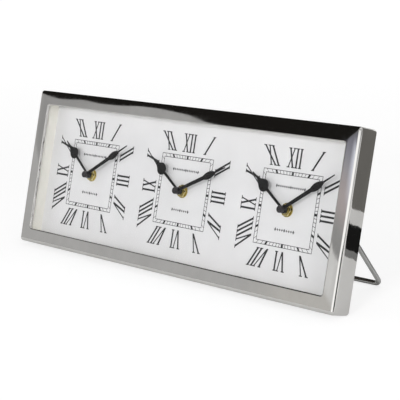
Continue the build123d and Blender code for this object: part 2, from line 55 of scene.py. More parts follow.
# Sizes of the case and the dials, as in the part's source
PITCH = 130.0
CLOCKS = {"left": -PITCH, "middle": 0.0, "right": PITCH}
SIDE_BAR = 14.5
END_BAR = 14.5
CASE_DEPTH = 21.5
CASE_WALL = 1.5
RING_THICKNESS = 1.2
LIP_WALL = 1.2
LIP_DEPTH = 2.4
DIAL_FACE = 4.3
WINDOW_WIDTH = len(CLOCKS) * PITCH
WINDOW_HEIGHT = PITCH

# Camera, solved from the photograph's corners
LENS = 116.17
SENSOR = 36.0
CAMERA_PLACE = (0.8508, -0.868175, 0.3248)
CAMERA_RIGHT = (0.71756, 0.69622, -0.01986)
CAMERA_UP = (-0.13101, 0.16293, 0.97790)
CAMERA_FORWARD = (-0.68406, 0.69911, -0.20812)


# Places and camera


def case_matrix():
    """Takes a point in the case's frame, in millimetres, to the row frame, in metres."""
    hub = JOINTS["middle_minute_turn"]
    toward = -Vector(hub["axis"]).normalized()
    across = Vector((1, 0, 0))
    up = toward.cross(across)
    turn = Matrix((across, up, toward)).transposed().to_4x4()
    return Matrix.Translation(hub["pos_m"]) @ turn @ Matrix.Scale(MM, 4)


CASE = case_matrix()


def between(first, last, share):
    """The number at a share of the way from first to last."""
    return first + (last - first) * share


def add_camera():
    """Camera at the photograph's place, looking along its axis."""
    data = bpy.data.cameras.new("camera")
    data.lens = LENS
    data.sensor_width = SENSOR
    data.clip_start = 0.05
    data.clip_end = 50
    camera = bpy.data.objects.new("camera", data)
    back = -Vector(CAMERA_FORWARD)
    turn = Matrix((Vector(CAMERA_RIGHT), Vector(CAMERA_UP), back)).transposed()
    camera.matrix_world = Matrix.Translation(CAMERA_PLACE) @ turn.to_4x4()
    bpy.context.scene.collection.objects.link(camera)
    bpy.context.scene.camera = camera


# Nodes of a material

# Part of a noise's range over which a blend runs
NOISE_LOW, NOISE_HIGH = 0.3, 0.7


class Nodes:
    """A material, or the world, with short calls to add and join its nodes."""

    def __init__(self, name, world=False):
        kind = bpy.data.worlds if world else bpy.data.materials
        self.material = kind.new(name)
        self.material.use_nodes = True
        self.tree = self.material.node_tree
        self.tree.nodes.clear()
        self.output = self.tree.nodes.new("ShaderNodeOutput" + ("World" if world else "Material"))

    def feed(self, socket, value):
        """Join an input to a socket, or set its value."""
        if isinstance(value, bpy.types.NodeSocket):
            self.tree.links.new(value, socket)
        else:
            socket.default_value = value

    def add(self, kind, **values):
        """A node with its settings and inputs given by name."""
        node = self.tree.nodes.new("ShaderNode" + kind)
        for key, value in values.items():
            if hasattr(node, key):
                setattr(node, key, value)
            else:
                self.feed(node.inputs[key.replace("_", " ")], value)
        return node

    def math(self, operation, first, second=0.0):
        """One sum on numbers or sockets."""
        node = self.add("Math", operation=operation)
        self.feed(node.inputs[0], first)
        self.feed(node.inputs[1], second)
        return node.outputs["Value"]

    def times(self, first, second):
        """The product of two numbers or sockets."""
        return self.math("MULTIPLY", first, second)

    def stops(self, fac, places):
        """A tone, grey or a colour, that follows a number through (number, tone) places."""
        low, high = places[0][0], places[-1][0]
        node = self.add("ValToRGB", Fac=self.rise(fac, low, high))
        elements = node.color_ramp.elements
        while len(elements) > 1:
            elements.remove(elements[-1])
        for index, (number, tone) in enumerate(places):
            position = (number - low) / (high - low)
            element = elements.new(position) if index else elements[0]
            element.position = position
            element.color = (*tone, 1) if isinstance(tone, tuple) else (tone, tone, tone, 1)
        return node.outputs["Color"]

    def blend(self, fac, first, second):
        """A blend of two colours."""
        node = self.add("Mix", data_type="RGBA")
        for index, value in ((0, fac), (6, first), (7, second)):
            self.feed(node.inputs[index], value)
        return node.outputs[2]

    def mix(self, fac, first, second):
        """A mix of two shaders, given as nodes."""
        node = self.add("MixShader", Fac=fac)
        self.feed(node.inputs[1], first.outputs[0])
        self.feed(node.inputs[2], second.outputs[0])
        return node

    def place(self, stretch=(1, 1, 1)):
        """Object coordinates, stretched along each axis."""
        mapping = self.add("Mapping", Vector=self.add("TexCoord").outputs["Object"])
        mapping.inputs["Scale"].default_value = stretch
        return mapping.outputs["Vector"]

    def noise(self, scale, detail=3.0, rough=0.55, stretch=(1, 1, 1)):
        """Fractal noise over the object."""
        vector = self.place(stretch)
        node = self.add("TexNoise", Vector=vector, Scale=scale, Detail=detail, Roughness=rough)
        return node.outputs["Fac"]

    def ramp(self, fac, low, high):
        """A blend from one colour to another over a noise."""
        node = self.add("ValToRGB", Fac=fac)
        first, last = node.color_ramp.elements
        first.position, last.position = NOISE_LOW, NOISE_HIGH
        first.color, last.color = (*low, 1), (*high, 1)
        return node.outputs["Color"]

    def span(self, fac, low, high, start=NOISE_LOW, end=NOISE_HIGH):
        """A number that goes from low to high between two values of fac."""
        node = self.add("MapRange", Value=fac)
        values = {"From Min": start, "From Max": end, "To Min": low, "To Max": high}
        for name, value in values.items():
            node.inputs[name].default_value = value
        return node.outputs["Result"]

    def rise(self, fac, start, end):
        """A number that goes from 0 to 1 between two values of fac."""
        return self.span(fac, 0.0, 1.0, start, end)

    def fall(self, fac, start, end):
        """A number that goes from 1 to 0 between two values of fac."""
        return self.span(fac, 1.0, 0.0, start, end)

    def bump(self, height, distance):
        """A bump whose full height is distance, in metres."""
        return self.add("Bump", Height=height, Distance=distance, Strength=1.0).outputs["Normal"]

    def principled(self, colour, **values):
        """The surface shader over a colour socket."""
        return self.finish(self.add("BsdfPrincipled", Base_Color=colour, **values))

    def finish(self, shader):
        """Join the last shader to the output and give back the material."""
        self.feed(self.output.inputs["Surface"], shader.outputs[0])
        return self.material


# Materials


def plastic(name, low, high, rough):
    """Moulded plastic with a fine texture and faint flow marks."""
    n = Nodes(name)
    colour = n.ramp(n.noise(60.0), low, high)
    fine = n.noise(1800.0, 2.0)
    roughness = n.span(n.noise(140.0), rough - 0.06, rough + 0.06)
    return n.principled(colour, Roughness=roughness, Normal=n.bump(fine, 0.00002))


def metal(name, low, high, rough, spread, grain):
    """Metal with slight tarnish, wiping marks and fine scratches."""
    n = Nodes(name)
    colour = n.ramp(n.noise(35.0, 4.0), low, high)
    roughness = n.span(n.noise(225.0, 3.0, 0.6), rough - spread, rough + spread)
    normal = n.bump(n.noise(900.0, 2.0, 0.5), grain)
    return n.principled(colour, Metallic=1.0, Roughness=roughness, Normal=normal)


def paper():
    """Matt printing paper with a faint mottle and fibres."""
    n = Nodes("dial_paper")
    colour = n.ramp(n.noise(45.0, 4.0), (0.738, 0.734, 0.744), (0.772, 0.768, 0.778))
    normal = n.bump(n.noise(2600.0, 3.0), 0.00001)
    return n.principled(colour, Roughness=0.75, Normal=normal)


def ink(name, low, high):
    """Printed ink, uneven in its black."""
    n = Nodes(name)
    colour = n.ramp(n.noise(700.0, 3.0), low, high)
    return n.principled(colour, Roughness=0.62)


def painted_wood():
    """Cream paint over wood, with brush marks along the strips."""
    n = Nodes("liner_paint")
    colour = n.ramp(n.noise(30.0, 4.0), (0.79, 0.775, 0.715), (0.85, 0.835, 0.78))
    marks = n.noise(500.0, 3.0, 0.6, (1, 0.15, 0.15))
    return n.principled(colour, Roughness=0.6, Normal=n.bump(marks, 0.00004))


def fibreboard():
    """Pressed brown board with short pale fibres."""
    n = Nodes("board_fibre")
    fibres = n.noise(420.0, 5.0, 0.7, (1, 2.5, 2.5))
    colour = n.ramp(fibres, (0.055, 0.040, 0.028), (0.125, 0.092, 0.064))
    return n.principled(colour, Roughness=0.85, Normal=n.bump(fibres, 0.00008))


def pane_glass():
    """Thin clear glass: it passes light straight, and each face mirrors more toward grazing."""
    n = Nodes("clear_glass")
    tint = n.ramp(n.noise(20.0), (0.980, 0.982, 0.981), (0.988, 0.988, 0.988))
    clear = n.add("BsdfTransparent", Color=tint)
    gloss = n.add("BsdfGlossy", Color=(1, 1, 1, 1), Roughness=0.0)
    facing = n.add("LayerWeight", Blend=0.5).outputs["Facing"]
    share = n.span(n.math("POWER", facing, 5.0), 0.004, 1.0, 0.0, 1.0)
    return n.finish(n.mix(share, clear, gloss))


# Pitch of the bush's thread, in metres
THREAD_PITCH = 0.00075


def threaded_brass():
    """Turned brass with a fine thread round the bush."""
    n = Nodes("threaded_brass")
    colour = n.ramp(n.noise(120.0), (0.46, 0.38, 0.16), (0.68, 0.58, 0.26))
    along = n.add("VectorMath", operation="DOT_PRODUCT")
    n.feed(along.inputs[0], n.place())
    n.feed(along.inputs[1], -Vector(JOINTS["middle_minute_turn"]["axis"]))
    turns = n.times(along.outputs["Value"], 2 * pi / THREAD_PITCH)
    normal = n.bump(n.math("SINE", turns), 0.0001)
    return n.principled(colour, Metallic=1.0, Roughness=0.28, Normal=normal)


def cell_jacket(name, low, high, metallic=0.0):
    """Glossy printed film round a cell, slightly wrinkled."""
    n = Nodes(name)
    colour = n.ramp(n.noise(90.0), low, high)
    roughness = n.span(n.noise(260.0), 0.22, 0.32)
    normal = n.bump(n.noise(300.0), 0.000006)
    return n.principled(colour, Metallic=metallic, Roughness=roughness, Normal=normal)


def black_paint(name, low, high):
    """Satin black paint of the hands and their caps."""
    n = Nodes(name)
    colour = n.ramp(n.noise(250.0), low, high)
    roughness = n.span(n.noise(600.0), 0.26, 0.36)
    normal = n.bump(n.noise(2200.0), 0.000006)
    return n.principled(colour, Roughness=roughness, Specular_IOR_Level=0.4, Normal=normal)


# Darkest and lightest colour, roughness, its spread, and the height of the scratches in metres
METALS = {
    "polished_case": ((0.70, 0.69, 0.67), (0.76, 0.75, 0.73), 0.035, 0.015, 0.0000006),
    "bright_steel": ((0.46, 0.46, 0.45), (0.56, 0.56, 0.55), 0.24, 0.02, 0.0000008),
    "turned_brass": ((0.55, 0.46, 0.20), (0.80, 0.70, 0.36), 0.15, 0.03, 0.000001),
    "cell_can": ((0.30, 0.30, 0.31), (0.42, 0.42, 0.43), 0.25, 0.04, 0.000004),
    "copper_winding": ((0.42, 0.15, 0.05), (0.62, 0.26, 0.10), 0.35, 0.04, 0.000004),
}
# Darkest and lightest colour, and roughness
PLASTICS = {
    "black_plastic": ((0.015, 0.015, 0.0155), (0.026, 0.026, 0.027), 0.42),
    "white_plastic": ((0.70, 0.70, 0.67), (0.78, 0.78, 0.75), 0.35),
    "black_rubber": ((0.010, 0.010, 0.010), (0.02, 0.02, 0.02), 0.8),
    "circuit_green": ((0.01, 0.09, 0.035), (0.02, 0.15, 0.06), 0.35),
}
# Materials for the record's slots
MATERIALS = {
    **{name: metal(name, *looks) for name, looks in METALS.items()},
    **{name: plastic(name, *looks) for name, looks in PLASTICS.items()},
    "clear_glass": pane_glass(),
    "liner_paint": painted_wood(),
    "dial_paper": paper(),
    "board_fibre": fibreboard(),
    "black_hands": black_paint("black_hands", (0.004, 0.004, 0.0043), (0.010, 0.010, 0.0105)),
}
# Nodes that look different from the rest of their slot, by the end of their name
OWN_LOOKS = {
    "threaded_bush": threaded_brass(),
    "cap_nut": black_paint("black_cap", (0.022, 0.020, 0.021), (0.034, 0.031, 0.033)),
}


def dress_nodes():
    """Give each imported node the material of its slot, or its own."""
    for name, node in NODES.items():
        material = MATERIALS[RECORD_SLOTS[name]]
        for ending, own in OWN_LOOKS.items():
            if name.endswith(ending):
                material = own
        for slot in node.material_slots:
            slot.material = material
        if not node.material_slots:
            node.data.materials.append(material)


# Pieces


def new_piece(name, bm, materials, body):
    """Turn a bmesh in the row frame into a piece that rides on a body."""
    mesh = bpy.data.meshes.new(name)
    bm.to_mesh(mesh)
    bm.free()
    piece = bpy.data.objects.new(name, mesh)
    bpy.context.scene.collection.objects.link(piece)
    for material in materials:
        mesh.materials.append(material)
    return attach(piece, body)


# Bezel

# Roundings of the bezel's edges and corners, and how far its front falls toward the outside
REAR_ROUND = 0.25
FRONT_ROUND = 3.0
LIP_ROUND = 0.5
RIM_CHAMFER = 0.2
OUTER_CORNER = 3.4
LIP_CORNER = 2.5
INNER_CORNER = 1.9
CROWN = 0.20
# Heights of the rings on the sides between the rear rim and the front
SIDE_RINGS = (6.0, 12.0)
# Points along a long side, a short side and a corner, and rings over each part of the section
ALONG, UP, ARC = 78, 26, 8
EDGE_RINGS, FRONT_RINGS, LIP_RINGS, INNER_RINGS = 7, 14, 3, 4
# Signs of each corner's place, and the degrees at which its arc starts
CORNERS = ((1, -1, -90), (1, 1, 0), (-1, 1, 90), (-1, -1, 180))


def corner_point(half_width, half_height, radius, corner, turn):
    """The point of a corner's arc that lies some degrees after its start."""
    side_x, side_y, start = corner
    angle = radians(start + turn)
    x = side_x * (half_width - radius) + radius * cos(angle)
    y = side_y * (half_height - radius) + radius * sin(angle)
    return (x, y)


def corner_ring(half_width, half_height, radius):
    """Points round a rectangle with rounded corners, the same number for every size."""
    size = (half_width, half_height, radius)
    points = []
    for index, corner in enumerate(CORNERS):
        points += [corner_point(*size, corner, 90 * step / ARC) for step in range(ARC + 1)]
        (x, y), (goal_x, goal_y) = points[-1], corner_point(*size, CORNERS[(index + 1) % 4], 0)
        count = ALONG if index % 2 else UP
        for step in range(1, count):
            points.append((between(x, goal_x, step / count), between(y, goal_y, step / count)))
    return points


def bezel_rings():
    """Rings of points up the bezel's sides, in over its front, down its lip and back inside."""
    rings = []

    def ring(out_x, out_y, radius, z):
        """A ring at a distance out from the window at its ends and its long sides."""
        points = corner_ring(WINDOW_WIDTH / 2 + out_x, WINDOW_HEIGHT / 2 + out_y, radius)
        rings.append([(x, y, z) for x, y in points])

    def inset_ring(inset, radius, z):
        """A ring at a distance in from the outer faces."""
        ring(SIDE_BAR - inset, END_BAR - inset, radius, z)

    edge = CASE_DEPTH - FRONT_ROUND
    for inset, z in ((REAR_ROUND, 0.0), (REAR_ROUND * 0.3, REAR_ROUND * 0.3)):
        inset_ring(inset, OUTER_CORNER - inset, z)
    for z in (REAR_ROUND, *SIDE_RINGS, edge):
        inset_ring(0.0, OUTER_CORNER, z)
    for step in range(1, EDGE_RINGS + 1):
        angle = radians(90 * step / EDGE_RINGS)
        inset = FRONT_ROUND * (1 - cos(angle))
        inset_ring(inset, OUTER_CORNER - inset, edge + (FRONT_ROUND - CROWN) * sin(angle))
    for step in range(1, FRONT_RINGS + 1):
        share = step / FRONT_RINGS
        out_x = between(SIDE_BAR - FRONT_ROUND, LIP_ROUND, share)
        out_y = between(END_BAR - FRONT_ROUND, LIP_ROUND, share)
        radius = between(OUTER_CORNER - FRONT_ROUND, LIP_CORNER + LIP_ROUND, share)
        ring(out_x, out_y, radius, CASE_DEPTH - CROWN * (1 - share) ** 2)
    for step in range(1, LIP_RINGS + 1):
        angle = radians(90 * step / LIP_RINGS)
        out = LIP_ROUND * (1 - sin(angle))
        ring(out, out, LIP_CORNER + out, CASE_DEPTH - LIP_ROUND * (1 - cos(angle)))
    glass_front = CASE_DEPTH - LIP_DEPTH
    under = CASE_DEPTH - RING_THICKNESS
    for out, z in ((0.0, glass_front), (LIP_WALL, glass_front), (LIP_WALL, under)):
        ring(out, out, LIP_CORNER + out, z)
    inner_round = FRONT_ROUND - RING_THICKNESS
    for step in range(INNER_RINGS + 1):
        angle = radians(90 * step / INNER_RINGS)
        inset = CASE_WALL + inner_round * (1 - sin(angle))
        inset_ring(inset, INNER_CORNER, under - inner_round * (1 - cos(angle)))
    inset_ring(CASE_WALL, INNER_CORNER, RIM_CHAMFER)
    inset_ring(CASE_WALL - RIM_CHAMFER, INNER_CORNER + RIM_CHAMFER, 0.0)
    return rings


# Depth of the front's unevenness, how far it reaches back, and the slice of the noise that
# it follows, with the noise's length and height
WAVE = 0.006
WAVE_BACK = 2.0
WAVE_SLICE = 3.1
WAVE_LENGTH, WAVE_HEIGHT = 45, 30
# Angle over which the polished shell keeps a sharp edge
BEZEL_SHARP = radians(40)


def wave(point):
    """Small unevenness of the polished front, always inward."""
    x, y, z = point
    if z < CASE_DEPTH - WAVE_BACK:
        return point
    swell = noise.noise(Vector((x / WAVE_LENGTH, y / WAVE_HEIGHT, WAVE_SLICE))) * 0.5 + 0.5
    return (x, y, z - WAVE * swell)


def add_bezel():
    """Polished shell with a crowned front, as one closed mesh."""
    bm = bmesh.new()
    loops = [[bm.verts.new(CASE @ Vector(wave(p))) for p in points] for points in bezel_rings()]
    count = len(loops[0])
    for low, high in zip(loops, loops[1:] + loops[:1]):
        for k in range(count):
            m = (k + 1) % count
            bm.faces.new((low[k], low[m], high[m], high[k]))
    bmesh.ops.recalc_face_normals(bm, faces=bm.faces)
    for face in bm.faces:
        face.smooth = True
    piece = new_piece("bezel", bm, [MATERIALS["polished_case"]], "root")
    piece.data.set_sharp_from_angle(angle=BEZEL_SHARP)
    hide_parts("bezel_frame")


# Print on the dials

# Distances of the numerals' base and top from the hub, and widths of their strokes
BASE = 37.2
TOP = 55.0
STEM = 1.8
HAIR = 1.2
SERIF = 3.5
SERIF_HEIGHT = 0.9
V_ARM = 3.1
V_SHIFT = 0.3
X_ARM = 2.6
# How far the ink stands above the paper and reaches into it
INK = 0.03
SINK = 0.02
# Points of an outline closer than this are joined
NEAR = 0.00001


def bar(x_low, x_high, y_low, y_high):
    """Corners of a bar."""
    return [(x_low, y_low), (x_high, y_low), (x_high, y_high), (x_low, y_high)]


def stroke(x0, x1, width, low=BASE, high=TOP):
    """A straight stroke from its place at the base to its place at the top."""
    half = width / 2
    return [(x0 - half, low), (x0 + half, low), (x1 + half, high), (x1 - half, high)]


def serif(x, at):
    """A short bar across the end of a stroke."""
    low, high = (BASE, BASE + SERIF_HEIGHT) if at == "base" else (TOP - SERIF_HEIGHT, TOP)
    return bar(x - SERIF / 2, x + SERIF / 2, low, high)


def letter_i(x, weight):
    """One thick stroke with a serif at each end."""
    return [stroke(x, x, STEM * weight), serif(x, "base"), serif(x, "top")]


def letter_v(x, weight):
    """A thick and a thin stroke that meet at the base."""
    thick = stroke(x, x - V_ARM, STEM * weight)
    thin = stroke(x + V_SHIFT, x + V_ARM + V_SHIFT, HAIR * weight)
    return [thick, thin, serif(x - V_ARM, "top"), serif(x + V_ARM + V_SHIFT, "top")]


def letter_x(x, weight):
    """A thick and a thin stroke that cross, with four serifs."""
    thick = stroke(x + X_ARM, x - X_ARM, STEM * weight)
    thin = stroke(x - X_ARM, x + X_ARM, HAIR * weight)
    ends = [serif(x + side * X_ARM, at) for side in (-1, 1) for at in ("base", "top")]
    return [thick, thin] + ends


# Each letter's strokes and its half width, and the step from one letter's middle to the next
LETTERS = {"I": letter_i, "V": letter_v, "X": letter_x}
HALVES = {"I": 1.6, "V": 4.7, "X": 3.9}
STEPS = {"II": 4.25, "IV": 6.5, "VI": 6.5, "IX": 6.2, "XI": 6.2}


def numeral(word, weight):
    """Strokes of a Roman numeral, centred, with its strokes widened by weight."""
    places = [0.0]
    for pair in zip(word, word[1:]):
        places.append(places[-1] + STEPS["".join(pair)])
    middle = (places[-1] + HALVES[word[-1]] - HALVES[word[0]]) / 2
    letters = zip(word, places)
    return [shape for letter, x in letters for shape in LETTERS[letter](x - middle, weight)]


def to_side(side, u, r):
    """A place along and out from the middle of one side of the dial, clockwise from the top."""
    return ((u, r), (r, -u), (-u, -r), (-r, u))[side]


# Each side's numerals from left to right as read from the hub, with how far each leans and
# its shift along the side
LEAN_OUT = tan(radians(30))
NUMERALS = (
    (("XI", -LEAN_OUT, 0.0), ("XII", 0.0, 0.0), ("I", LEAN_OUT, -0.5)),
    (("II", -LEAN_OUT, 0.0), ("III", 0.0, 0.0), ("IV", LEAN_OUT, 0.0)),
    (("V", -0.42, -6.1), ("VI", 0.0, 0.0), ("VII", LEAN_OUT, -2.0)),
    (("VIII", -LEAN_OUT, 0.0), ("IX", 0.0, 0.0), ("X", LEAN_OUT, 0.0)),
)


def numeral_shapes():
    """Outlines of the twelve numerals, those beside the middle of a side leaning outward."""
    shapes = []
    for side, words in enumerate(NUMERALS):
        for word, lean, shift in words:
            weight = (1 + lean ** 2) ** 0.5
            for shape in numeral(word, weight):
                shapes.append([to_side(side, lean * r + shift + a, r) for a, r in shape])
    return shapes


# Outer and inner distance of the minute track from the hub, and widths of its marks
TRACK_OUT = 34.0
TRACK_IN = 30.3
LINE = 0.52
TICK = 0.52
BLOCK = 2.3


def track_shapes():
    """Outlines of the square minute track: two lines and sixty marks, every fifth a block."""
    shapes = []
    for side in range(4):
        for r in (TRACK_OUT - LINE, TRACK_IN):
            end = r + LINE
            shapes.append([to_side(side, u, v) for u, v in bar(-end, end, r, end)])
        for minute in range(-7, 8):
            slope = tan(radians(6 * minute))
            width = TICK if minute % 5 else BLOCK
            mark = stroke(slope * TRACK_IN, slope * TRACK_OUT, width, TRACK_IN, TRACK_OUT)
            shapes.append([to_side(side, u, v) for u, v in mark])
    return shapes


# Height of each rule on the dial, the number of its lozenges and the gap between them
RULES = ((20.0, 15, 2.3), (-18.5, 9, 2.6))
RULE_HALF = 0.1
RULE_END = 1.6
# Half height and half width of a lozenge
LARGE_LOZENGE = (1.8, 1.15)
SMALL_LOZENGE = (1.35, 0.85)


def rule_shapes(y, count, gap):
    """A row of small lozenges on a thin rule, where a name would stand."""
    reach = gap * (count - 1) / 2 + RULE_END
    shapes = [bar(-reach, reach, y - RULE_HALF, y + RULE_HALF)]
    for index in range(count):
        x = (index - (count - 1) / 2) * gap
        large = index in (0, count // 2, count - 1)
        tall, wide = LARGE_LOZENGE if large else SMALL_LOZENGE
        shapes.append([(x - wide, y), (x, y - tall), (x + wide, y), (x, y + tall)])
    return shapes


def printed(name, shapes, x, material, base, top):
    """One thin raised print or moulding: the union of its outlines, from base to top."""
    points, faces = [], []
    for shape in shapes:
        faces.append(list(range(len(points), len(points) + len(shape))))
        points += [Vector((px, py)) for px, py in shape]
    found, _, pieces, _, _, sources = delaunay_2d_cdt(points, [], faces, 1, NEAR)
    bm = bmesh.new()
    verts = [bm.verts.new((px + x, py, base)) for px, py in found]
    for piece, source in zip(pieces, sources):
        if source:
            bm.faces.new([verts[k] for k in piece])
    bmesh.ops.delete(bm, geom=[v for v in bm.verts if not v.link_faces], context="VERTS")
    raised = bmesh.ops.extrude_face_region(bm, geom=bm.faces[:])
    lifted = [item for item in raised["geom"] if isinstance(item, bmesh.types.BMVert)]
    bmesh.ops.translate(bm, verts=lifted, vec=(0, 0, top - base))
    bmesh.ops.recalc_face_normals(bm, faces=bm.faces)
    bm.transform(CASE)
    return new_piece(name, bm, [material], "root")


def add_prints():
    """Numerals, track and plain rules of the three dials."""
    black = ink("printed_black", (0.012, 0.012, 0.014), (0.03, 0.03, 0.032))
    grey = ink("printed_grey", (0.07, 0.07, 0.075), (0.12, 0.12, 0.125))
    marks = numeral_shapes() + track_shapes()
    rules = [shape for rule in RULES for shape in rule_shapes(*rule)]
    base, top = DIAL_FACE - SINK, DIAL_FACE + INK
    for name, x in CLOCKS.items():
        printed(f"{name}_dial_print", marks, x, black, base, top)
        printed(f"{name}_dial_rules", rules, x, grey, base, top)


# Cells


def case_box(name):
    """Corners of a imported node's box in the case's frame."""
    back = CASE.inverted()
    places = [back @ (NODES[name].matrix_world @ v.co) for v in NODES[name].data.vertices]
    return [[pick(p[axis] for p in places) for axis in range(3)] for pick in (min, max)]


# Faces round a cell, the height of its nub, and its finishes in the order of its materials
AROUND = 72
NUB = 1.3
CAN, JACKET, BAND, PRINT = range(4)
# Middle of the minus mark from the low end and of the plus mark from the shoulder, how far
# their parts reach along the cell, and the faces on each side that a narrow and a wide part has
MINUS_MARK = 6.9
PLUS_MARK = -5.95
MINUS_HALF = 1.0
PLUS_REACH = 2.0
PLUS_HALF = 0.7
NARROW, WIDE = 1, 3
# Angle over which a cell keeps a sharp edge
CELL_SHARP = radians(35)


def cell_profile(low, high, radius):
    """Places along a cell, each with its radius and the finish of the ring that follows."""
    minus_end = (
        (0.15, 0.0, CAN), (0.15, 4.4, CAN), (0.0, 4.8, CAN), (0.0, 5.8, CAN), (0.25, 6.5, CAN),
        (0.3, 6.7, JACKET), (0.55, radius - 0.06, JACKET), (0.9, radius, JACKET),
        (5.2, radius, JACKET), (8.6, radius, JACKET),
    )
    band = (
        (-12.6, radius, PRINT), (-12.0, radius, BAND), (-7.9, radius, BAND),
        (-6.6, radius, BAND), (-5.3, radius, BAND), (-4.0, radius, BAND), (-0.9, radius, BAND),
        (-0.4, radius - 0.1, BAND), (-0.1, 6.6, BAND), (0.0, 6.1, PRINT), (-0.25, 5.9, PRINT),
        (-0.25, 3.5, CAN), (-0.1, 3.0, CAN), (0.1, 2.75, CAN),
    )
    nub = ((-0.3, 2.7, CAN), (-0.06, 2.45, CAN), (0.0, 2.1, CAN), (0.0, 0.0, CAN))
    profile = []
    for origin, part in ((low, minus_end), (high - NUB, band), (high, nub)):
        profile += [(origin + along, out, finish) for along, out, finish in part]
    return profile


def on_mark(step, place, low, shoulder):
    """Whether a face of the jacket belongs to the minus or the plus mark."""
    away = min(step, AROUND - 1 - step)
    if abs(place - (low + MINUS_MARK)) < MINUS_HALF:
        return away < NARROW
    from_plus = abs(place - (shoulder + PLUS_MARK))
    return away < (WIDE if from_plus < PLUS_HALF else NARROW) and from_plus < PLUS_REACH


def add_cell(name, film):
    """A wrapped cell with a bare can at its ends, a coloured band and its two marks."""
    (low, y_low, z_low), (high, y_high, z_high) = case_box(f"{name}_battery")
    cy, cz, radius = (y_low + y_high) / 2, (z_low + z_high) / 2, (z_high - z_low) / 2
    profile = cell_profile(low, high, radius)
    bm = bmesh.new()
    rings = []
    for x, out, _ in profile:
        angles = [2 * pi * step / AROUND for step in range(AROUND if out else 1)]
        places = [Vector((x, cy + out * sin(angle), cz - out * cos(angle))) for angle in angles]
        rings.append([bm.verts.new(CASE @ place) for place in places])
    pairs = zip(zip(rings, rings[1:]), profile, profile[1:])
    for (start, after), (x, out, finish), (x_next, _, _) in pairs:
        for step in range(AROUND):
            ends = (step, (step + 1) % AROUND)
            corners = [start[k % len(start)] for k in ends]
            corners += [after[k % len(after)] for k in reversed(ends)]
            face = bm.faces.new(list(dict.fromkeys(corners)))
            marked = out == radius and on_mark(step, (x + x_next) / 2, low, high - NUB)
            face.material_index = PRINT if marked else finish
            face.smooth = True
    bmesh.ops.recalc_face_normals(bm, faces=bm.faces)
    piece = new_piece(f"{name}_cell", bm, film, f"{name}_battery")
    piece.data.set_sharp_from_angle(angle=CELL_SHARP)
    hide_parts(f"{name}_battery")


# Mouldings and catches on the backs of the movements

# Height of the mouldings on a cover, and how deep they sit in it
MOULDING = 0.4
MOULDING_SINK = 0.05
# Rim: its distance in from the cover's edges and its width
RIM_INSET = 1.6
RIM_WIDTH = 0.7
# Plus and minus: distance in from the sides and up from the bottom, reach and half width
SIGN_IN = 6.5
SIGN_UP = 4.2
SIGN_REACH = 1.7
SIGN_HALF = 0.45
# Ribs: their number, the first one's distance from the top, gap, distance in and half width
RIBS = 3
RIB_DOWN = 4.4
RIB_GAP = 1.6
RIB_IN = 4.5
RIB_HALF = 0.35
# Arrow round the knob: radius and width of its arc, steps, ends in degrees, and its heads
ARROW_RADIUS = 9.4
ARROW_WIDTH = 1.0
ARROW_STEPS = 16
ARROW_ENDS = (40, 140)
ARROW_HEAD = 2.6
ARROW_BARB = 1.5
# Catches: how far they reach into the cover's sides and stand out, where they start and end
# in front of its back, and their chamfer
CATCH_IN = 0.3
CATCH_OUT = 0.6
CATCH_SPAN = (0.9, 3.6)
CATCH_CUT = 0.25
# Side catches: length, and how far each starts from the cover's bottom or top. Top catches:
# length, and distance from the cover's middle
SIDE_CATCH = 7.0
SIDE_CATCH_UP = 5.0
SIDE_CATCH_DOWN = 12.0
TOP_CATCH = 8.0
TOP_CATCH_AWAY = 14.0


def chamfered(bm, low, high):
    """A block with chamfered edges in the case's frame."""
    centre = [(a + b) / 2 for a, b in zip(low, high)]
    half = [(b - a) / 2 for a, b in zip(low, high)]
    block = bmesh.ops.create_cube(bm, size=2.0)["verts"]
    for vert in block:
        vert.co = CASE @ Vector([c + h * v for c, h, v in zip(centre, half, vert.co)])
    edges = list({edge for vert in block for edge in vert.link_edges})
    cut = CATCH_CUT * MM
    bmesh.ops.bevel(bm, geom=edges, offset=cut, segments=2, affect="EDGES", profile=0.5)


def turn_arrow(cy):
    """An arc over the setting knob with an arrowhead at each end."""
    start, end = (radians(angle) for angle in ARROW_ENDS)
    near, far = ARROW_RADIUS - ARROW_WIDTH / 2, ARROW_RADIUS + ARROW_WIDTH / 2
    angles = [start + (end - start) * step / ARROW_STEPS for step in range(ARROW_STEPS + 1)]
    outlines = [((near, a), (far, a), (far, b), (near, b)) for a, b in zip(angles, angles[1:])]
    for angle, way in ((start, -1), (end, 1)):
        tip = angle + way * ARROW_HEAD / ARROW_RADIUS
        barbs = ((ARROW_RADIUS - ARROW_BARB, angle), (ARROW_RADIUS + ARROW_BARB, angle))
        outlines.append(barbs + ((ARROW_RADIUS, tip),))
    return [[(r * cos(a), cy + r * sin(a)) for r, a in outline] for outline in outlines]


def back_shapes(cover, knob):
    """A rim, a minus and a plus over the bay, ribs, and the knob's arrow."""
    (left, low, _), (right, high, _) = cover
    x0, x1, y0, y1 = left + RIM_INSET, right - RIM_INSET, low + RIM_INSET, high - RIM_INSET
    shapes = [
        bar(x0, x1, y0, y0 + RIM_WIDTH),
        bar(x0, x1, y1 - RIM_WIDTH, y1),
        bar(x0, x0 + RIM_WIDTH, y0, y1),
        bar(x1 - RIM_WIDTH, x1, y0, y1),
    ]
    plus, y = right - SIGN_IN, low + SIGN_UP
    for x in (-plus, plus):
        shapes.append(bar(x - SIGN_REACH, x + SIGN_REACH, y - SIGN_HALF, y + SIGN_HALF))
    shapes.append(bar(plus - SIGN_HALF, plus + SIGN_HALF, y - SIGN_REACH, y + SIGN_REACH))
    for row in range(RIBS):
        rib = high - RIB_DOWN - RIB_GAP * row
        shapes.append(bar(left + RIB_IN, right - RIB_IN, rib - RIB_HALF, rib + RIB_HALF))
    return shapes + turn_arrow((knob[0][1] + knob[1][1]) / 2)


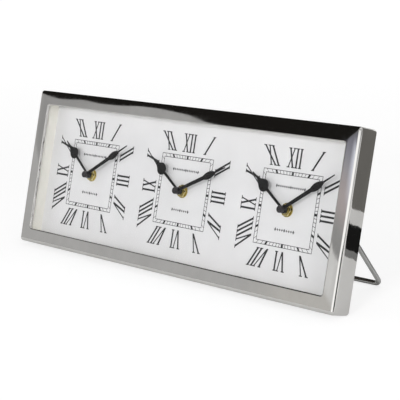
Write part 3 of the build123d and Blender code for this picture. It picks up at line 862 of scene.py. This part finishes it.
def add_back(name, x, material):
    """Mouldings and catches on the back of one movement."""
    cover, knob = case_box(f"{name}_movement_cover"), case_box(f"{name}_set_knob")
    centred = [[corner[0] - x, corner[1], corner[2]] for corner in cover]
    (_, low, back), (_, high, _) = cover
    base, top = back + MOULDING_SINK, back - MOULDING
    shapes = back_shapes(centred, knob)
    printed(f"{name}_back_mouldings", shapes, x, material, base, top)
    first, last = (back + distance for distance in CATCH_SPAN)
    bm = bmesh.new()
    for side in (-1, 1):
        edge = x + side * centred[1][0]
        x0, x1 = sorted((edge - side * CATCH_IN, edge + side * CATCH_OUT))
        for y in (low + SIDE_CATCH_UP, high - SIDE_CATCH_DOWN):
            chamfered(bm, (x0, y, first), (x1, y + SIDE_CATCH, last))
    for side in (-1, 1):
        middle = x + side * TOP_CATCH_AWAY
        x0, x1 = middle - TOP_CATCH / 2, middle + TOP_CATCH / 2
        chamfered(bm, (x0, high - CATCH_IN, first), (x1, high + CATCH_OUT, last))
    new_piece(f"{name}_catches", bm, [material], "root")


def add_backs():
    """The three cells and the mouldings of the movements behind the board."""
    film = (
        MATERIALS["cell_can"],
        cell_jacket("cell_jacket", (0.016, 0.017, 0.020), (0.026, 0.027, 0.031)),
        cell_jacket("cell_band", (0.40, 0.24, 0.09), (0.52, 0.33, 0.13), 0.9),
        cell_jacket("cell_print", (0.62, 0.62, 0.60), (0.72, 0.72, 0.70)),
    )
    for name, x in CLOCKS.items():
        add_cell(name, film)
        add_back(name, x, MATERIALS["black_plastic"])


# Floor and cards

# Half width of the floor, in metres
FLOOR_HALF = 6.0
# Strength of the floor's glow near the clock and far away, the distances at which it starts
# and stops growing, and its share in what the camera sees
GLOW = (1.22, 1.5)
GLOW_REACH = (0.6, 2.6)
GLOW_SHARE = 0.6
# Cards seen only in reflections, in metres: two strips just above the floor, given by their
# near and far edge and their tone, and a wall behind them. The dim strip is a painted shadow:
# it stands for the clock's own shadow on the floor, as the case's right end mirrors it.
LIFT = 0.0005
STRIPS = {"dark_card": (0.140, 0.232, 0.012), "painted_shadow_card": (0.116, 0.140, 0.22)}
STRIP_ENDS = (0.2, 0.8)
WALL = 0.294
WALL_ENDS = (0.2, 1.4)
WALL_TOP = 0.6
WALL_TONE = (0.17, 0.165, 0.155)


def add_plane(name, corners, material):
    """A flat staged card."""
    mesh = bpy.data.meshes.new(name)
    mesh.from_pydata(corners, [], [tuple(range(len(corners)))])
    card = bpy.data.objects.new(name, mesh)
    bpy.context.scene.collection.objects.link(card)
    mesh.materials.append(material)
    return card


def floor_material():
    """Pale floor that the camera sees nearly white, more so far away, with the shadow kept."""
    n = Nodes("floor")
    colour = n.ramp(n.noise(3.0), (0.84, 0.84, 0.84), (0.86, 0.86, 0.86))
    plain = n.add("BsdfPrincipled", Base_Color=colour, Roughness=0.8)
    away = n.add("VectorMath", operation="LENGTH")
    n.feed(away.inputs[0], n.place())
    strength = n.span(away.outputs["Value"], *GLOW, *GLOW_REACH)
    glow = n.add("Emission", Color=(1, 1, 1, 1), Strength=strength)
    seen = n.times(n.add("LightPath").outputs["Is Camera Ray"], GLOW_SHARE)
    return n.finish(n.mix(seen, plain, glow))


def card_material(name, colour):
    """Studio card of an even tone."""
    n = Nodes(name)
    low = tuple(0.92 * c for c in colour)
    return n.finish(n.add("Emission", Color=n.ramp(n.noise(6.0), low, colour), Strength=1.0))


def add_card(name, corners, colour):
    """A card seen only in reflections."""
    card = add_plane(name, corners, card_material(name, colour))
    card.visible_camera = False
    card.visible_diffuse = False
    card.visible_shadow = False
    card.visible_transmission = False


def add_cards():
    """The floor, and the cards behind the clock's right end."""
    half = FLOOR_HALF
    floor = [(-half, -half, 0), (half, -half, 0), (half, half, 0), (-half, half, 0)]
    add_plane("floor", floor, floor_material())
    left, right = STRIP_ENDS
    # The dim strip is a painted shadow: a grey card for the clock's shadow on the floor, seen mirrored in the case
    for name, (near, far, tone) in STRIPS.items():
        strip = [(left, near, LIFT), (right, near, LIFT), (right, far, LIFT), (left, far, LIFT)]
        add_card(name, strip, (tone, tone, tone))
    left, right = WALL_ENDS
    low, top = LIFT, WALL_TOP
    wall = [(left, WALL, low), (right, WALL, low), (right, WALL, top), (left, WALL, top)]
    add_card("wall_card", wall, WALL_TONE)


# Lamps and world

# Each lamp's place, the place it points at, its width and height in metres, and its watts
LAMPS = {
    "key": ((0.84, -2.13, 0.80), (0, 0, 0.08), (0.45, 0.45), 23),
    "fill": ((2.0, -0.6, 0.5), (0, 0, 0.08), (1.4, 1.0), 17),
    "side": ((-0.95, -0.95, 0.25), (-0.2, 0, 0.08), (0.9, 0.7), 3.5),
    "top": ((0.1, 0.6, 2.2), (0, 0, 0.05), (1.6, 1.6), 14),
}
# Light on matt surfaces, from straight below to straight above
SOFT_TONES = ((-1.0, 0.45), (-0.1, 0.62), (0.35, 0.62), (0.6, 0.28), (1.0, 0.25))
# Tones of the studio as the polished metal and the glass mirror it, by the compass in degrees
# from the front toward the left. These go all round.
ALL_TONES = (
    (-180, 1.0), (-130, 0.9), (-80, 0.24), (-60, 0.4), (-48, 0.6), (-38, 1.0), (-28, 1.3),
    (20, 1.3), (60, 0.5), (75, 0.48), (100, 0.9), (180, 1.0),
)
# Low down, from the right to the front
ROUND_TONES = (
    (-90, 0.9), (-75, 0.9), (-62, 0.6), (-56, 0.10), (-24, 0.10), (-17, 1.3), (20, 1.3),
)
# Low down, where the front bars look
LOW_TONES = (
    (20, 1.3), (27, 1.1), (31.5, 0.72), (33.2, 0.70), (35, 0.76), (37.5, 0.74), (38.3, 0.52),
    (40, 0.49), (43, 0.50), (60, 0.48),
)
# Higher up, where the front bars look
HIGH_TONES = (
    (20, 1.3), (25, 1.1), (28, 0.8), (32.3, (0.72, 0.76, 0.85)), (33.4, (0.62, 0.63, 0.68)),
    (34.2, (0.46, 0.43, 0.44)), (38, 0.42), (43, 0.42), (49, 0.43), (51, 0.37), (53, 0.35),
    (60, 0.45),
)
# Compass degrees between which the front bars look
AHEAD = (20.0, 60.0)
# Tone by height in degrees where the right bar looks, the compass degrees over which it comes
# and goes, and its tone near the floor with the heights over which that goes
RIGHT_TONES = (
    (5, 0.72), (8.05, 0.75), (8.2, 0.30), (9.2, 0.36), (10.2, (0.47, 0.42, 0.42)),
    (11.2, (0.45, 0.41, 0.42)), (11.8, (0.40, 0.39, 0.42)), (12.5, (0.31, 0.31, 0.36)),
    (13.3, (0.22, 0.22, 0.26)), (15, 0.12),
)
RIGHT_COMES = (28.0, 31.0)
RIGHT_GOES = (38.6, 41)
RIGHT_FLOOR = (0.58, 0.57, 0.55, 1)
RIGHT_FLOOR_GOES = (6.0, 6.3)
# Gleam in the right bar, the compass degrees over which it goes, and the heights over which
# it comes and goes
GLEAM = (0.90, 0.93, 1.05, 1)
GLEAM_ENDS = (33.2, 35.4)
GLEAM_COMES = (10.4, 12.2)
GLEAM_GOES = (13.1, 13.6)
# Tone by height in degrees overhead, and the heights over which it comes
OVERHEAD_TONES = ((15, 0.62), (35, 0.44), (60, 0.75), (90, 0.95))
OVERHEAD_COMES = (15, 22)
# Dark ceiling, the heights over which it goes, and the compass degrees over which it starts
# and ends
CEILING = (0.012, 0.011, 0.010, 1)
CEILING_GOES = (60, 75)
CEILING_STARTS = (37.6, 38.3)
CEILING_ENDS = (146, 158)
# Degrees over which the low tones turn into the high ones, and those into the dark ceiling
LOW_BLUR = (-0.12, 0.12)
CEILING_BLUR = (-0.1, 0.1)
# Height in degrees up to which the low tones reach, by the compass
LOW_UNTIL = (
    (-60, 5.5), (-44, 7.5), (-23, 9.9), (0, 10.7), (17, 10.3), (27, 9.3), (31, 8.6),
    (33.5, 7.85), (35, 7.95), (36, 8.1), (37, 8.35), (38.5, 8.0), (42, 7.6),
)
# Height in degrees at which the dark ceiling begins, by the compass
DARK_AHEAD = (
    (30, 11.0), (38, 10.9), (43.4, 11.5), (44.8, 12.2), (45.8, 13.4), (46.7, 13.7), (47.3, 13.9),
    (48.2, 13.7), (49.0, 12.9), (49.8, 12.6), (50.6, 13.0), (51.5, 12.1), (52.5, 12.8), (60, 13.2),
)
DARK_BEYOND = ((60, 13.2), (75, 20.0), (100, 12.0), (120, 6.0), (150, 5.0))
# Height in degrees that a ramp's white stands for
FULL_HEIGHT = 20.0


def add_lamp(name, place, target, size, power):
    """A soft rectangular lamp that points at its target and isn't mirrored."""
    data = bpy.data.lights.new(name, "AREA")
    data.shape = "RECTANGLE"
    data.size, data.size_y = size
    data.energy = power
    lamp = bpy.data.objects.new(name, data)
    lamp.location = place
    lamp.rotation_euler = (Vector(target) - Vector(place)).to_track_quat("-Z", "Y").to_euler()
    lamp.visible_glossy = False
    bpy.context.scene.collection.objects.link(lamp)


def by_compass(n, compass, places):
    """A height in degrees that follows the compass."""
    shares = [(place, height / FULL_HEIGHT) for place, height in places]
    return n.times(n.stops(compass, shares), FULL_HEIGHT)


def add_right_tones(n, compass, height, low, high):
    """The low and high tones with those that the right bar mirrors."""
    near = n.times(n.rise(compass, *RIGHT_COMES), n.fall(compass, *RIGHT_GOES))
    high = n.blend(near, high, n.stops(height, RIGHT_TONES))
    low = n.blend(n.times(near, n.fall(height, *RIGHT_FLOOR_GOES)), low, RIGHT_FLOOR)
    gleam = n.times(n.fall(compass, *GLEAM_ENDS), n.rise(height, *GLEAM_COMES))
    gleam = n.times(gleam, n.times(near, n.fall(height, *GLEAM_GOES)))
    return low, n.blend(gleam, high, GLEAM)


def dark_share(n, compass, height):
    """How far the dark ceiling covers the rest."""
    beyond = n.math("GREATER_THAN", compass, AHEAD[1])
    near = n.times(by_compass(n, compass, DARK_AHEAD), n.math("SUBTRACT", 1.0, beyond))
    edge = n.math("ADD", near, n.times(by_compass(n, compass, DARK_BEYOND), beyond))
    above = n.math("SUBTRACT", height, edge)
    dark = n.times(n.rise(above, *CEILING_BLUR), n.fall(height, *CEILING_GOES))
    dark = n.times(dark, n.rise(compass, *CEILING_STARTS))
    return n.times(dark, n.fall(compass, *CEILING_ENDS))


def studio_tone(n):
    """The studio as the metal and glass mirror it: grey, with a dark ceiling."""
    way = n.add("SeparateXYZ", Vector=n.add("TexCoord").outputs["Generated"])
    x, y, z = way.outputs
    compass = n.times(n.math("ARCTAN2", n.times(x, -1.0), n.times(y, -1.0)), degrees(1))
    height = n.times(n.math("ARCSINE", z), degrees(1))
    after = n.math("GREATER_THAN", compass, AHEAD[0])
    ahead = n.times(after, n.math("LESS_THAN", compass, AHEAD[1]))
    around = n.stops(compass, ALL_TONES)
    started = n.math("GREATER_THAN", compass, ROUND_TONES[0][0])
    low = n.blend(started, around, n.stops(compass, ROUND_TONES))
    low = n.blend(n.math("GREATER_THAN", compass, AHEAD[1]), low, around)
    low = n.blend(ahead, low, n.stops(compass, LOW_TONES))
    high = n.blend(ahead, around, n.stops(compass, HIGH_TONES))
    low, high = add_right_tones(n, compass, height, low, high)
    over = n.math("SUBTRACT", height, by_compass(n, compass, LOW_UNTIL))
    tone = n.blend(n.rise(over, *LOW_BLUR), low, high)
    tone = n.blend(n.rise(height, *OVERHEAD_COMES), tone, n.stops(height, OVERHEAD_TONES))
    return n.blend(dark_share(n, compass, height), tone, CEILING)


def add_world():
    """White behind the object, light from all round and less from above, and the studio's
    tones in the mirrors."""
    n = Nodes("world", world=True)
    bpy.context.scene.world = n.material
    way = n.add("SeparateXYZ", Vector=n.add("TexCoord").outputs["Generated"])
    light = n.add("Background", Color=n.stops(way.outputs["Z"], SOFT_TONES), Strength=1.0)
    white = n.add("Background", Color=(1, 1, 1, 1), Strength=1.0)
    mirror = n.add("Background", Color=studio_tone(n), Strength=1.0)
    path = n.add("LightPath")
    seen = n.math("MAXIMUM", path.outputs["Is Camera Ray"], path.outputs["Is Transmission Ray"])
    direct = n.mix(seen, light, white)
    n.finish(n.mix(path.outputs["Is Glossy Ray"], direct, mirror))


add_camera()
dress_nodes()
add_bezel()
add_prints()
add_backs()
add_cards()
for lamp_name, lamp_values in LAMPS.items():
    add_lamp(lamp_name, *lamp_values)
add_world()
bpy.context.scene.view_settings.view_transform = "Standard"
